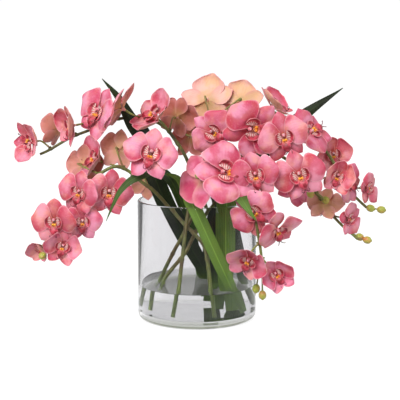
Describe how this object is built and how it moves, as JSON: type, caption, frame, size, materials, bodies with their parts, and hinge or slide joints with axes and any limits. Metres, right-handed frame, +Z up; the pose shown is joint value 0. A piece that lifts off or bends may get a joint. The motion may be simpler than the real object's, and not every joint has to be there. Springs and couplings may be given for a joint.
{
  "type": "moth orchid in glass vase",
  "caption": "Arching pink moth orchid sprays with buds and long strap leaves, standing in a clear glass cylinder vase part filled with water.",
  "frame": {"origin": "centre of the vase's flat base, on the surface it stands on", "axes": "+Z up along the vase's axis, +X to the right as seen from the front, and the front faces -Y"},
  "size_m": [0.5639, 0.2383, 0.3684],
  "materials": {
    "clear_glass": "clear, smooth",
    "water": "still clear water",
    "stem_green": "waxy olive to brown, matte",
    "leaf_green": "leathery, lengthwise veins, half matte",
    "petal_pink": "soft matte, veined, paler rim and crimson lip"
  },
  "bodies": {
    "root": {"vase": "clear_glass", "water": "water", "spray_left_high": "stem_green", "spray_left_low": "stem_green", "spray_top": "stem_green", "spray_right_high": "stem_green", "spray_right_low": "stem_green", "spray_front": "stem_green", "leaf_left_long": "leaf_green", "leaf_front": "leaf_green", "leaf_narrow_drooping": "leaf_green", "leaf_right_long": "leaf_green", "leaf_over_rim": "leaf_green", "leaf_dark_right": "leaf_green", "leaf_inner": "leaf_green", "flower_left_high_1": "petal_pink", "flower_left_high_2": "petal_pink", "flower_left_high_3": "petal_pink", "flower_left_high_4": "petal_pink", "flower_left_high_5": "petal_pink", "flower_left_high_6": "petal_pink", "flower_left_high_7": "petal_pink", "flower_left_low_1": "petal_pink", "flower_left_low_2": "petal_pink", "flower_left_low_3": "petal_pink", "flower_left_low_4": "petal_pink", "flower_left_low_5": "petal_pink", "flower_left_low_6": "petal_pink", "flower_left_low_7": "petal_pink", "flower_left_low_8": "petal_pink", "flower_left_low_9": "petal_pink", "flower_left_low_10": "petal_pink", "flower_left_low_11": "petal_pink", "flower_top_1": "petal_pink", "flower_top_2": "petal_pink", "flower_top_3": "petal_pink", "flower_top_4": "petal_pink", "flower_top_5": "petal_pink", "flower_right_high_1": "petal_pink", "flower_right_high_2": "petal_pink", "flower_right_high_3": "petal_pink", "flower_right_high_4": "petal_pink", "flower_right_high_5": "petal_pink", "flower_right_high_6": "petal_pink", "flower_right_high_7": "petal_pink", "flower_right_low_1": "petal_pink", "flower_right_low_2": "petal_pink", "flower_right_low_3": "petal_pink", "flower_right_low_4": "petal_pink", "flower_right_low_5": "petal_pink", "flower_right_low_6": "petal_pink", "flower_front_1": "petal_pink", "flower_front_2": "petal_pink", "flower_front_3": "petal_pink", "flower_front_4": "petal_pink", "flower_front_5": "petal_pink"}
  },
  "joints": []
}
